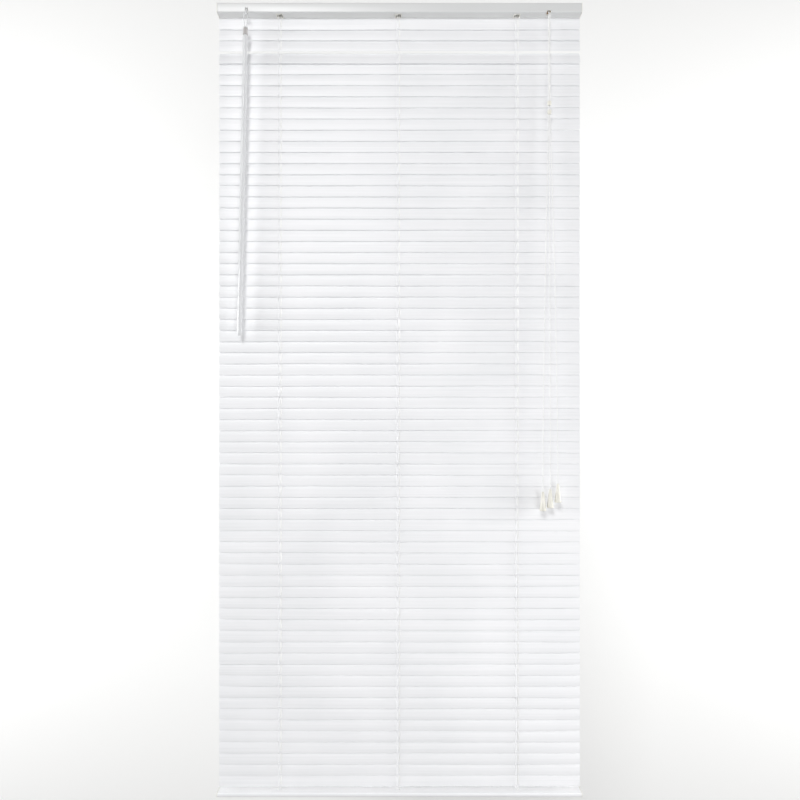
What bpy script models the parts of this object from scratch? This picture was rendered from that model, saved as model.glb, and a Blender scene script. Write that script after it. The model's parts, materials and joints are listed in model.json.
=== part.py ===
"""Venetian blind with 25 mm slats: a steel headrail with its tilt and lift gear, slats on three ladders,
a bottom rail, a tilt wand and three pull cords.

Metres, +Z up. The room side faces -Y and +X is to the viewer's right. The origin is on the headrail's
back wall, at the middle of its width and height. The blind is lowered, with its slats closed front edge down.
"""

import math

import bmesh
import bpy
from mathutils import Matrix, Vector

# Driving dimensions
BLIND_WIDTH = 0.7493
DROP = 1.626
GAP = 0.0003  # between pieces that touch
RUNNING_GAP = 0.0004  # around pieces that turn or slide

HEADRAIL_DEPTH = 0.0254
HEADRAIL_HEIGHT = 0.020
HEADRAIL_WALL = 0.0008
HEADRAIL_LIP = 0.003
CAP_THICKNESS = 0.0016
CAP_BOSS = 0.008

SLAT_WIDTH = 0.025
SLAT_END_GAP = 0.0022  # from a slat's end to the end of the headrail
SLAT_THICKNESS = 0.0004
SLAT_CROWN = 0.001
SLAT_PITCH = SLAT_WIDTH * 0.92  # nominal: the true pitch shares out the drop
SOLID_SLATS = 18
SLAT_STATIONS = (-0.5, -0.36, -0.18, 0.0, 0.18, 0.36, 0.5)  # across the width; the slot ends at +-0.36
SLOT_WIDTH = 0.0028
CLOSED_TILT = math.radians(80)

LADDER_INSET = 0.130  # from the end of the headrail to an outer ladder
LADDER_STRING = 0.001
LADDER_TO_CORD = 0.005  # the ladder hangs beside its lift cord
LIFT_CORD = 0.0012

BOTTOM_RAIL_HEIGHT = 0.0085
BOTTOM_RAIL_WALL = 0.0008
BOTTOM_RAIL_CLEAR = 0.0072  # below the last slat
FIRST_SLAT_CLEAR = 0.0035  # below the headrail

ROD_ACROSS = 0.0032  # radius over the corners of the hexagonal tilt rod
GEAR_TEETH = 9
GEAR_RADIUS = 0.0052
WORM_RADIUS = 0.0023
STEM_RADIUS = 0.0019
STEM_ANGLE = math.radians(30)  # of the worm's axis from upright
STEM_LENGTH = 0.024
TILTER_INSET = 0.0617

WAND_LENGTH = 0.612
WAND_RADIUS = 0.0051
WAND_LEAN = math.radians(1.2)
HOOK_LENGTH = 0.029
HOOK_WIRE = 0.0007
SLEEVE_LENGTH = 0.0135
SLEEVE_RADIUS = 0.0043
BALL_RADIUS = 0.0026

LOCK_INSET = 0.0687
LOCK_ROLLER_RADIUS = 0.003
LOCK_PIN_RADIUS = 0.0012
LOCK_JOURNAL_RADIUS = 0.0012
LOCK_TRAVEL = 0.003
PULL_CORD_PITCH = 0.0016  # between the cords where they run side by side

TASSEL_HEIGHT = 0.038
TASSEL_RADIUS = 0.007
STOP_HEIGHT = 0.009

# Sizes that follow
HALF = BLIND_WIDTH / 2
MIDDLE_Y = -HEADRAIL_DEPTH / 2  # the slats, the rod and the lift cords share this plane
FLOOR = -HEADRAIL_HEIGHT / 2
FLOOR_TOP = FLOOR + HEADRAIL_WALL
RIM = HEADRAIL_HEIGHT / 2
INNER_HALF_DEPTH = HEADRAIL_DEPTH / 2 - HEADRAIL_WALL
SLAT_LENGTH = BLIND_WIDTH - 2 * SLAT_END_GAP
SLOT_HALF_LENGTH = -SLAT_STATIONS[1] * SLAT_WIDTH
CLOSED_HALF_HEIGHT = SLAT_WIDTH / 2 * math.sin(CLOSED_TILT)
FIRST_SLAT_Z = FLOOR - FIRST_SLAT_CLEAR - CLOSED_HALF_HEIGHT
BOTTOM = RIM - DROP
RAIL_TOP = BOTTOM + BOTTOM_RAIL_HEIGHT
LAST_SLAT_Z = RAIL_TOP + BOTTOM_RAIL_CLEAR + CLOSED_HALF_HEIGHT
SLAT_SPAN = FIRST_SLAT_Z - LAST_SLAT_Z
LADDER_X = (-HALF + LADDER_INSET, 0.0, HALF - LADDER_INSET)
SIDES = ("left", "centre", "right")
STRING_TRAVEL = SLAT_WIDTH * math.sin(CLOSED_TILT)
DRUM_RADIUS = STRING_TRAVEL / (2 * CLOSED_TILT) - LADDER_STRING / 2
EDGE_Y = SLAT_WIDTH / 2 * math.cos(CLOSED_TILT)
STRING_CLEAR = SLAT_THICKNESS / 2 + GAP + LADDER_STRING / 2
CROWN_Y = SLAT_CROWN * math.sin(CLOSED_TILT)
FRONT_STRING_Y = MIDDLE_Y - EDGE_Y + CROWN_Y - STRING_CLEAR
BACK_STRING_Y = MIDDLE_Y + EDGE_Y + CROWN_Y + STRING_CLEAR
TILTER_X = -HALF + TILTER_INSET
LOCK_X = HALF - LOCK_INSET


def material(name, colour, roughness, metallic=0.0, alpha=1.0):
    made = bpy.data.materials.new(name)
    made.use_nodes = True
    shader = made.node_tree.nodes["Principled BSDF"]
    shader.inputs["Base Color"].default_value = (*colour, 1.0)
    shader.inputs["Roughness"].default_value = roughness
    shader.inputs["Metallic"].default_value = metallic
    shader.inputs["Alpha"].default_value = alpha
    return made


def place(name, shape, finish):
    """Turns a bmesh into an object, with its faces outwards and round sides smooth."""
    bmesh.ops.recalc_face_normals(shape, faces=shape.faces)
    mesh = bpy.data.meshes.new(name)
    shape.to_mesh(mesh)
    shape.free()
    mesh.shade_smooth()
    mesh.set_sharp_from_angle(angle=math.radians(35))
    obj = bpy.data.objects.new(name, mesh)
    if finish:
        mesh.materials.append(finish)
    bpy.context.scene.collection.objects.link(obj)
    return obj


def combine(obj, tool, operation):
    """Adds a Boolean that cuts the tool from the object, or joins it on."""
    tool.hide_render = True
    tool.display_type = "WIRE"
    modifier = obj.modifiers.new(operation.title(), "BOOLEAN")
    modifier.operation = operation
    modifier.object = tool
    modifier.solver = "EXACT"
    return obj


def cut(obj, shape):
    return combine(obj, place(obj.name + "_cutter", shape, None), "DIFFERENCE")


def join(obj, shape):
    return combine(obj, place(obj.name + "_addition", shape, None), "UNION")


def box(low, high):
    """A block between two corners."""
    shape = bmesh.new()
    bmesh.ops.create_cube(shape, size=1)
    size = [b - a for a, b in zip(low, high)]
    middle = [(a + b) / 2 for a, b in zip(low, high)]
    bmesh.ops.scale(shape, vec=size, verts=shape.verts)
    bmesh.ops.translate(shape, vec=middle, verts=shape.verts)
    return shape


def extrusion(outline, start, end):
    """An outline of (y, z) points drawn along X."""
    shape = bmesh.new()
    face = shape.faces.new([shape.verts.new((start, y, z)) for y, z in outline])
    grown = bmesh.ops.extrude_face_region(shape, geom=[face])
    moved = [v for v in grown["geom"] if isinstance(v, bmesh.types.BMVert)]
    bmesh.ops.translate(shape, vec=(end - start, 0, 0), verts=moved)
    return shape


def along(start, direction):
    """A matrix that takes +Z to the direction and the origin to the start."""
    turn = Vector(direction).to_track_quat("Z", "Y").to_matrix().to_4x4()
    return Matrix.Translation(start) @ turn


def turned(profile, start, direction, sides=16, reach=None):
    """A solid of revolution from (radius, distance) points, closed on its axis at both ends.

    reach(angle, distance) may add to the radius, as a thread does."""
    shape = bmesh.new()
    rings = []
    for radius, distance in profile:
        ring = []
        for i in range(sides):
            angle = 2 * math.pi * i / sides
            r = radius + (reach(angle, distance) if reach else 0)
            ring.append(shape.verts.new((r * math.cos(angle), r * math.sin(angle), distance)))
        rings.append(ring)
    for low, high in zip(rings, rings[1:]):
        for i in range(sides):
            j = (i + 1) % sides
            shape.faces.new((low[i], low[j], high[j], high[i]))
    shape.faces.new(list(reversed(rings[0])))
    shape.faces.new(rings[-1])
    bmesh.ops.transform(shape, matrix=along(start, direction), verts=shape.verts)
    return shape


def rod_between(start, end, radius, sides=16):
    """A plain round bar between two points."""
    line = Vector(end) - Vector(start)
    return turned([(radius, 0), (radius, line.length)], start, line, sides)


def smooth_route(points, count):
    """Points at even steps of a centripetal Catmull-Rom curve through the given ones."""
    places = [Vector(p) for p in points]
    places = [2 * places[0] - places[1]] + places + [2 * places[-1] - places[-2]]
    knots = [0.0]
    for a, b in zip(places, places[1:]):
        knots.append(knots[-1] + math.sqrt((b - a).length))

    def between(a, b, low, high, t):
        return a.lerp(b, (t - low) / (high - low))

    route = []
    spans = len(places) - 3
    for i in range(count):
        k = min(int(i / (count - 1) * spans), spans - 1)
        a, b, c, d = places[k : k + 4]
        ka, kb, kc, kd = knots[k : k + 4]
        t = kb + (i / (count - 1) * spans - k) * (kc - kb)
        ab, bc, cd = between(a, b, ka, kb, t), between(b, c, kb, kc, t), between(c, d, kc, kd, t)
        route.append(between(between(ab, bc, ka, kc, t), between(bc, cd, kb, kd, t), kb, kc, t))
    return route


def cord(name, route, diameter, finish):
    """A cord as a bevelled poly line with filled ends."""
    curve = bpy.data.curves.new(name, "CURVE")
    curve.dimensions = "3D"
    curve.bevel_depth = diameter / 2
    curve.bevel_resolution = 2
    curve.use_fill_caps = True
    spline = curve.splines.new("POLY")
    spline.points.add(len(route) - 1)
    for point, position in zip(spline.points, route):
        point.co = (*position, 1)
    curve.materials.append(finish)
    obj = bpy.data.objects.new(name, curve)
    bpy.context.scene.collection.objects.link(obj)
    return obj


# The headrail: a folded steel channel, open at the top, with a plastic cap in each end


def headrail(finish):
    end = HALF - CAP_THICKNESS - GAP
    outer, inner = HEADRAIL_DEPTH / 2, INNER_HALF_DEPTH
    lip = outer - HEADRAIL_LIP
    under_rim = RIM - HEADRAIL_WALL
    half = [(outer, FLOOR), (outer, RIM), (lip, RIM), (lip, under_rim)]
    half += [(inner, under_rim), (inner, FLOOR_TOP)]
    outline = half + [(-y, z) for y, z in reversed(half)]
    shape = extrusion([(y + MIDDLE_Y, z) for y, z in outline], -end, end)
    rail = place("headrail", shape, finish)
    for x in LADDER_X:
        low, high = snout_box(x)
        cut(rail, box([v - GAP for v in low], [v + GAP for v in high]))
    exit_low = (LOCK_X - LOCK_EXIT_HALF, -HEADRAIL_DEPTH - CAP_THICKNESS, FLOOR - CAP_THICKNESS)
    cut(rail, box(exit_low, (LOCK_X + LOCK_EXIT_HALF, MIDDLE_Y - LOCK_EXIT_BACK, LOCK_EXIT_TOP)))
    cut(rail, stem_way(STEM_RADIUS + 2 * RUNNING_GAP + GAP))
    return rail


def end_cap(name, side, finish):
    outer = side * HALF
    inner = side * (HALF - CAP_THICKNESS)
    low_x, high_x = sorted((outer, inner))
    shape = box((low_x, -HEADRAIL_DEPTH, FLOOR), (high_x, 0, RIM))
    cap = place(name, shape, finish)
    reach_y = INNER_HALF_DEPTH - GAP
    root_x = side * (HALF - CAP_THICKNESS / 2)
    boss_x = side * (HALF - CAP_THICKNESS - CAP_BOSS)
    low_x, high_x = sorted((root_x, boss_x))
    top = RIM - HEADRAIL_WALL - GAP
    join(cap, box((low_x, MIDDLE_Y - reach_y, FLOOR_TOP + GAP), (high_x, MIDDLE_Y + reach_y, top)))
    hollow_y = reach_y - CAP_THICKNESS
    low_x, high_x = sorted((side * (HALF - 2 * CAP_THICKNESS), boss_x - side * CAP_THICKNESS))
    floor = FLOOR_TOP + GAP + CAP_THICKNESS
    cut(cap, box((low_x, MIDDLE_Y - hollow_y, floor), (high_x, MIDDLE_Y + hollow_y, RIM)))
    return cap


# The cradles: each holds a drum on the tilt rod and leads a ladder and a lift cord through the floor

CRADLE_LEFT, CRADLE_RIGHT = 0.013, 0.009  # reach each side of the lift cord
CRADLE_WALL = 0.0015
CRADLE_TOP = 0.0015
SNOUT_LEFT, SNOUT_RIGHT, SNOUT_HALF_DEPTH = 0.0095, 0.0045, 0.0078
SNOUT_DROP = 0.0008
DRUM_WIDTH = 0.004
DRUM_LEFT = 0.0075  # from the lift cord to the drum's far face


def snout_box(x):
    low = (x - SNOUT_LEFT, MIDDLE_Y - SNOUT_HALF_DEPTH, FLOOR - SNOUT_DROP)
    return low, (x + SNOUT_RIGHT, MIDDLE_Y + SNOUT_HALF_DEPTH, FLOOR_TOP)


def cradle(name, x, finish):
    half_depth = INNER_HALF_DEPTH - RUNNING_GAP
    base = FLOOR_TOP + GAP
    low = (x - CRADLE_LEFT, MIDDLE_Y - half_depth, base)
    holder = place(name, box(low, (x + CRADLE_RIGHT, MIDDLE_Y + half_depth, CRADLE_TOP)), finish)
    low, high = snout_box(x)
    join(holder, box(low, (high[0], high[1], base + CRADLE_WALL / 2)))
    inner = half_depth - CRADLE_WALL
    cavity_low = (x - CRADLE_LEFT + CRADLE_WALL, MIDDLE_Y - inner, base + CRADLE_WALL)
    cut(holder, box(cavity_low, (x + CRADLE_RIGHT - CRADLE_WALL, MIDDLE_Y + inner, RIM)))
    way_low = (x - SNOUT_LEFT + CRADLE_WALL, MIDDLE_Y - SNOUT_HALF_DEPTH + CRADLE_WALL, FLOOR - CRADLE_WALL)
    way_high = (x + SNOUT_RIGHT - CRADLE_WALL, MIDDLE_Y + SNOUT_HALF_DEPTH - CRADLE_WALL, CRADLE_TOP)
    cut(holder, box(way_low, way_high))
    notch = ROD_ACROSS + RUNNING_GAP
    start = (x - CRADLE_LEFT - CRADLE_WALL, MIDDLE_Y, 0)
    cut(holder, rod_between(start, (x + CRADLE_RIGHT + CRADLE_WALL, MIDDLE_Y, 0), notch))
    cut(holder, box((start[0], MIDDLE_Y - notch, 0), (x + CRADLE_RIGHT + CRADLE_WALL, MIDDLE_Y + notch, RIM)))
    return holder


# The tilt gear: a hexagonal rod turns a drum at each ladder, and a worm at the left turns the rod


def tilt_rod(finish):
    start = (TILTER_X - GEAR_HALF - 2 * CRADLE_WALL, MIDDLE_Y, 0)
    end = (LADDER_X[2] + CRADLE_RIGHT + 2 * CRADLE_WALL, MIDDLE_Y, 0)
    return place("tilt_rod", rod_between(start, end, ROD_ACROSS, 6), finish)


def rod_bore(obj, start_x, end_x):
    """Cuts the hexagonal bore that fits round the rod."""
    start = (start_x - CRADLE_WALL, MIDDLE_Y, 0)
    return cut(obj, rod_between(start, (end_x + CRADLE_WALL, MIDDLE_Y, 0), ROD_ACROSS + GAP, 6))


def drum(name, x, finish):
    far = x - DRUM_LEFT
    hub = ROD_ACROSS + GAP + CRADLE_WALL
    hub_far = x - CRADLE_LEFT + CRADLE_WALL + RUNNING_GAP
    flange = DRUM_RADIUS - LADDER_STRING / 2
    profile = [
        (hub, 0),
        (hub, far - hub_far),
        (DRUM_RADIUS, far - hub_far),
        (flange, far - hub_far + DRUM_WIDTH / 3),
        (flange, far - hub_far + DRUM_WIDTH * 2 / 3),
        (DRUM_RADIUS, far - hub_far + DRUM_WIDTH),
        (hub, far - hub_far + DRUM_WIDTH),
        (hub, far - hub_far + DRUM_WIDTH + CRADLE_WALL),
    ]
    wheel = place(name, turned(profile, (hub_far, MIDDLE_Y, 0), (1, 0, 0), 20), finish)
    return rod_bore(wheel, hub_far, far + DRUM_WIDTH + CRADLE_WALL)


GEAR_HALF = 0.0035
TILTER_HALF = 0.010
TILTER_TOP = 0.0075
THREAD_DEPTH = 0.0007
WORM_HALF = 0.0048
NECK_RADIUS = 0.001
STEM_DIRECTION = Vector((0, -math.sin(STEM_ANGLE), -math.cos(STEM_ANGLE)))
WORM_OFFSET = Vector((0, -math.cos(STEM_ANGLE), math.sin(STEM_ANGLE)))
WORM_CENTRE = Vector((TILTER_X, MIDDLE_Y, 0)) + WORM_OFFSET * (GEAR_RADIUS + WORM_RADIUS + RUNNING_GAP)
BALL_CENTRE = WORM_CENTRE + STEM_DIRECTION * STEM_LENGTH


def tilter_gear(finish):
    outline = []
    for tooth in range(GEAR_TEETH):
        for share, radius in ((0.0, 0.8), (0.3, 0.8), (0.45, 1.0), (0.85, 1.0)):
            angle = 2 * math.pi * (tooth + share) / GEAR_TEETH
            r = GEAR_RADIUS * radius
            outline.append((MIDDLE_Y + r * math.cos(angle), r * math.sin(angle)))
    gear = place("tilter_gear", extrusion(outline, TILTER_X - GEAR_HALF, TILTER_X + GEAR_HALF), finish)
    return rod_bore(gear, TILTER_X - GEAR_HALF, TILTER_X + GEAR_HALF)


def stem_way(radius):
    """The sloping hole that the worm's stem comes out of."""
    return rod_between(WORM_CENTRE, WORM_CENTRE + STEM_DIRECTION * STEM_LENGTH, radius)


def tilter_housing(finish):
    half_depth = INNER_HALF_DEPTH - GAP
    base = FLOOR_TOP + GAP
    low = (TILTER_X - TILTER_HALF, MIDDLE_Y - half_depth, base)
    high = (TILTER_X + TILTER_HALF, MIDDLE_Y + half_depth, TILTER_TOP)
    shell = place("tilter_housing", box(low, high), finish)
    inner_x, inner_y = TILTER_HALF - CRADLE_WALL, half_depth - CRADLE_WALL
    cavity_low = (TILTER_X - inner_x, MIDDLE_Y - inner_y, base + CRADLE_WALL)
    cut(shell, box(cavity_low, (TILTER_X + inner_x, MIDDLE_Y + inner_y, RIM)))
    notch = ROD_ACROSS + RUNNING_GAP
    far = TILTER_X + TILTER_HALF + CRADLE_WALL
    cut(shell, rod_between((TILTER_X, MIDDLE_Y, 0), (far, MIDDLE_Y, 0), notch))
    cut(shell, box((TILTER_X, MIDDLE_Y - notch, 0), (far, MIDDLE_Y + notch, RIM)))
    cut(shell, stem_way(STEM_RADIUS + RUNNING_GAP))
    return shell


def tilter_worm(finish):
    """The worm, its stem and the ball that the wand's hook hangs on, all on one sloping axis."""
    pitch = 2 * math.pi * GEAR_RADIUS / GEAR_TEETH

    def thread(angle, distance):
        if not 0 < distance < 2 * WORM_HALF:
            return 0
        phase = (distance / pitch - angle / (2 * math.pi)) % 1
        return -THREAD_DEPTH * (1 - math.cos(2 * math.pi * phase)) / 2

    profile = [(STEM_RADIUS, -pitch / 4)]
    steps = 16
    profile += [(WORM_RADIUS, 2 * WORM_HALF * i / steps) for i in range(steps + 1)]
    ball_at = STEM_LENGTH + WORM_HALF
    ring_at = ball_at - RING_RISE
    profile += [(STEM_RADIUS, 2 * WORM_HALF + pitch / 4), (STEM_RADIUS, ring_at - 0.003)]
    profile.append((NECK_RADIUS, ring_at - 0.002))
    for degrees in (28, 52, 76, 100, 124, 148, 172):
        angle = math.radians(degrees)
        profile.append((BALL_RADIUS * math.sin(angle), ball_at - BALL_RADIUS * math.cos(angle)))
    start = WORM_CENTRE - STEM_DIRECTION * WORM_HALF
    return place("tilter_worm", turned(profile, start, STEM_DIRECTION, 12, thread), finish)


# The wand: a bail hangs on the worm's ball, and the wand turns with it

RING_RADIUS = 0.0027
RING_CLEAR = BALL_RADIUS + HOOK_WIRE + GAP
RING_RISE = math.sqrt(RING_CLEAR**2 - RING_RADIUS**2)
WAND_DIRECTION = Vector((-math.sin(WAND_LEAN), 0, -math.cos(WAND_LEAN)))
SHOULDER_HEIGHT = 0.0025
HOOK_PIN = 0.0014
HOOK_PIN_LENGTH = 0.006


def down_wand(distance, across=0.0, forward=0.0):
    """A point at a distance below the ball along the wand, and off to its side or front."""
    sideways = Vector((math.cos(WAND_LEAN), 0, -math.sin(WAND_LEAN)))
    return BALL_CENTRE + WAND_DIRECTION * distance + sideways * across + Vector((0, -forward, 0))


def wand_hook(finish):
    shape = bmesh.new()
    ring, tube = 20, 8
    sections = []
    for i in range(ring):
        angle = 2 * math.pi * i / ring
        out = Vector((math.cos(angle), math.sin(angle), 0))
        section = []
        for k in range(tube):
            lean = 2 * math.pi * k / tube
            spot = out * (RING_RADIUS + HOOK_WIRE * math.cos(lean))
            spot.z += HOOK_WIRE * math.sin(lean)
            section.append(shape.verts.new(spot))
        sections.append(section)
    for i in range(ring):
        here, there = sections[i], sections[(i + 1) % ring]
        for k in range(tube):
            m = (k + 1) % tube
            shape.faces.new((here[k], there[k], there[m], here[m]))
    centre = BALL_CENTRE - STEM_DIRECTION * RING_RISE
    bmesh.ops.transform(shape, matrix=along(centre, STEM_DIRECTION), verts=shape.verts)
    hook = place("wand_hook", shape, finish)
    shoulder = HOOK_LENGTH - SHOULDER_HEIGHT
    for side in (-1, 1):
        bow = side * (RING_CLEAR + HOOK_WIRE)
        route = [
            centre + Vector((side * RING_RADIUS, 0, 0)),
            BALL_CENTRE + Vector((bow, 0, 0)),
            down_wand(HOOK_LENGTH * 0.35, bow),
            down_wand(HOOK_LENGTH * 0.65, side * RING_RADIUS),
            down_wand(shoulder + SHOULDER_HEIGHT / 2, side * RING_RADIUS * 0.7),
        ]
        join(hook, swept(smooth_route(route, 12), HOOK_WIRE, 8))
    profile = [
        (SLEEVE_RADIUS * 0.75, 0),
        (SLEEVE_RADIUS, SHOULDER_HEIGHT * 0.4),
        (SLEEVE_RADIUS, SHOULDER_HEIGHT),
        (HOOK_PIN, SHOULDER_HEIGHT),
        (HOOK_PIN, SHOULDER_HEIGHT + HOOK_PIN_LENGTH),
    ]
    return join(hook, turned(profile, down_wand(shoulder), WAND_DIRECTION))


def swept(route, radius, sides):
    """A round tube along a route, closed at its ends."""
    shape = bmesh.new()
    sections = []
    for i, spot in enumerate(route):
        heading = route[min(i + 1, len(route) - 1)] - route[max(i - 1, 0)]
        frame = along(spot, heading)
        ring = [2 * math.pi * k / sides for k in range(sides)]
        spots = [Vector((radius * math.cos(a), radius * math.sin(a), 0)) for a in ring]
        sections.append([shape.verts.new(frame @ spot) for spot in spots])
    for here, there in zip(sections, sections[1:]):
        for k in range(sides):
            m = (k + 1) % sides
            shape.faces.new((here[k], here[m], there[m], there[k]))
    shape.faces.new(list(reversed(sections[0])))
    shape.faces.new(sections[-1])
    return shape


def wand_sleeve(finish):
    start = HOOK_LENGTH + GAP
    profile = [
        (SLEEVE_RADIUS * 0.9, 0),
        (SLEEVE_RADIUS, SLEEVE_LENGTH * 0.1),
        (SLEEVE_RADIUS, SLEEVE_LENGTH * 0.75),
        (WAND_RADIUS, SLEEVE_LENGTH),
    ]
    sleeve = place("wand_sleeve", turned(profile, down_wand(start), WAND_DIRECTION), finish)
    bore_end = start + HOOK_PIN_LENGTH + RUNNING_GAP
    bore_start = down_wand(start - SHOULDER_HEIGHT)
    return cut(sleeve, rod_between(bore_start, down_wand(bore_end), HOOK_PIN + RUNNING_GAP))


def wand(finish):
    start = HOOK_LENGTH + SLEEVE_LENGTH + 2 * GAP
    grip = 0.05
    profile = [
        (WAND_RADIUS * 0.86, 0),
        (WAND_RADIUS * 0.9, 0.003),
        (WAND_RADIUS * 0.9, WAND_LENGTH - grip),
        (WAND_RADIUS, WAND_LENGTH - grip + 0.004),
        (WAND_RADIUS, WAND_LENGTH - 0.006),
        (WAND_RADIUS * 0.6, WAND_LENGTH),
    ]
    return place("wand", turned(profile, down_wand(start), WAND_DIRECTION, 6), finish)


# The cord lock: a roller drops down its sloping slots and pinches the cords against a fixed pin

LOCK_HALF = 0.011
LOCK_CAVITY_HALF = 0.006
LOCK_TOP = 0.003
LOCK_FRONT_WALL = 0.0008
LOCK_EXIT_HALF = 0.0045
LOCK_EXIT_BACK = 0.0015
LOCK_EXIT_TOP = FLOOR + 0.0045
NIP_Y = MIDDLE_Y - 0.0069
NIP_Z = -0.002
NIP_CLEAR = LIFT_CORD / 2 + 0.00035
ROLLER_Y = NIP_Y + NIP_CLEAR + LOCK_ROLLER_RADIUS
PIN_Y = NIP_Y - NIP_CLEAR - LOCK_PIN_RADIUS
JOURNAL_REACH = 0.0085
EXIT_Y = -HEADRAIL_DEPTH - 0.0016


def cord_lock_housing(finish):
    half_depth = INNER_HALF_DEPTH - GAP
    base = FLOOR_TOP + GAP
    low = (LOCK_X - LOCK_HALF, MIDDLE_Y - half_depth, base)
    high = (LOCK_X + LOCK_HALF, MIDDLE_Y + half_depth, LOCK_TOP)
    shell = place("cord_lock_housing", box(low, high), finish)
    front = MIDDLE_Y - half_depth + LOCK_FRONT_WALL
    cavity_low = (LOCK_X - LOCK_CAVITY_HALF, front, base + CRADLE_WALL)
    cavity_high = (LOCK_X + LOCK_CAVITY_HALF, MIDDLE_Y + half_depth - CRADLE_WALL, RIM)
    cut(shell, box(cavity_low, cavity_high))
    exit_half = LOCK_EXIT_HALF - CRADLE_WALL / 2
    exit_low = (LOCK_X - exit_half, -HEADRAIL_DEPTH, FLOOR)
    cut(shell, box(exit_low, (LOCK_X + exit_half, MIDDLE_Y - 2 * LOCK_EXIT_BACK, LOCK_EXIT_TOP - GAP)))
    reach = JOURNAL_REACH + RUNNING_GAP
    slot = LOCK_JOURNAL_RADIUS + RUNNING_GAP
    rise = LOCK_TRAVEL / math.sqrt(2)
    shape = box((-reach, -slot, -slot), (reach, slot, LOCK_TRAVEL + slot))
    tilt = Matrix.Rotation(-math.pi / 4, 4, "X")
    bmesh.ops.transform(shape, matrix=Matrix.Translation((LOCK_X, ROLLER_Y, NIP_Z)) @ tilt, verts=shape.verts)
    cut(shell, shape)
    y = ROLLER_Y + rise
    way_in = box((LOCK_X - reach, y - slot, NIP_Z + rise), (LOCK_X + reach, y + slot, RIM))
    cut(shell, way_in)
    pin_reach = JOURNAL_REACH + RUNNING_GAP
    hole = LOCK_PIN_RADIUS + GAP
    start, end = (LOCK_X - pin_reach, PIN_Y, NIP_Z), (LOCK_X + pin_reach, PIN_Y, NIP_Z)
    return cut(shell, rod_between(start, end, hole))


def cord_lock_roller(finish):
    face = LOCK_CAVITY_HALF - RUNNING_GAP
    side = JOURNAL_REACH - face
    profile = [
        (LOCK_JOURNAL_RADIUS, 0),
        (LOCK_JOURNAL_RADIUS, side),
        (LOCK_ROLLER_RADIUS, side),
        (LOCK_ROLLER_RADIUS, side + 2 * face),
        (LOCK_JOURNAL_RADIUS, side + 2 * face),
        (LOCK_JOURNAL_RADIUS, 2 * JOURNAL_REACH),
    ]
    start = (LOCK_X - JOURNAL_REACH, ROLLER_Y, NIP_Z)
    return place("cord_lock_roller", turned(profile, start, (1, 0, 0), 16), finish)


def cord_lock_pin(finish):
    start, end = (LOCK_X - JOURNAL_REACH, PIN_Y, NIP_Z), (LOCK_X + JOURNAL_REACH, PIN_Y, NIP_Z)
    return place("cord_lock_pin", rod_between(start, end, LOCK_PIN_RADIUS, 12), finish)


# The lift cords: from the bottom rail up through the slats, round the rod and along the headrail to the lock

LANES = ((-0.0070, 0.0074), (0.0070, 0.0074), (-0.0092, 0.0044))  # (y from the middle, z) of each cord


def lift_cord(index, finish):
    x = LADDER_X[index]
    lane_y, lane_z = LANES[index]
    side = math.copysign(1, lane_y)
    end_x = LOCK_X + (index - 1) * PULL_CORD_PITCH
    offset = PULL_CORD_PITCH
    rising = [
        (0.0, 0.0, FLOOR_TOP),
        (0.0004, 0.0009, -0.0075),
        (0.002, 0.0040, -0.0045),
        (0.0035, 0.0060, -0.001),
        (0.0058, 0.0069, 0.0033),
    ]
    rise = [(x + dx, MIDDLE_Y + side * dy, z) for dx, dy, z in rising]
    rise.append((x + 0.0105, MIDDLE_Y + (side * 0.0069 + lane_y) / 2, (0.0052 + lane_z) / 2))
    rise.append((x + 0.020, MIDDLE_Y + lane_y, lane_z))
    turns = (
        [(-0.016, -0.0070, 0.0074), (-0.008, -0.0072, 0.0062), (-0.0036, -0.0071, 0.0032)],
        [(-0.024, 0.0070, 0.0074), (-0.012, 0.0015, 0.0078), (-0.005, -0.0038, 0.0072)],
        [(-0.012, -0.0092, 0.0044), (-0.002, -0.0090, 0.0046), (0.0012, -0.0078, 0.0030)],
    )
    over_nip = ((-offset, -0.0069, 0.0), (0.0, -0.0069, 0.0015), (offset, -0.0069, 0.0))
    turn = [(LOCK_X + dx, MIDDLE_Y + dy, z) for dx, dy, z in turns[index] + [over_nip[index]]]
    nip = [(end_x, NIP_Y, NIP_Z)]
    nip += [(end_x, NIP_Y - 0.0016, FLOOR + 0.0045), (end_x, NIP_Y - 0.0032, FLOOR + 0.0022)]
    straight = [Vector((x, MIDDLE_Y, BOTTOM + 0.0045)), Vector((x, MIDDLE_Y, FLOOR_TOP - 0.004))]
    route = straight + smooth_route(rise, 19) + smooth_route(turn + nip, 22)
    return cord("lift_cord_" + SIDES[index], route, LIFT_CORD, finish)


# The pull cords: the same cords below the lock, through two stops, each ending in a tassel

TASSEL_X = (-0.0145, 0.0005, 0.0160)  # from the cord lock
TASSEL_TOP = (-0.990, -0.984, -0.973)
TASSEL_Y = -0.034
STOP_TOP = (-0.193, -0.211)
STOP_Y = EXIT_Y - 0.0014
TASSEL_TIP = 0.0022


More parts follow.
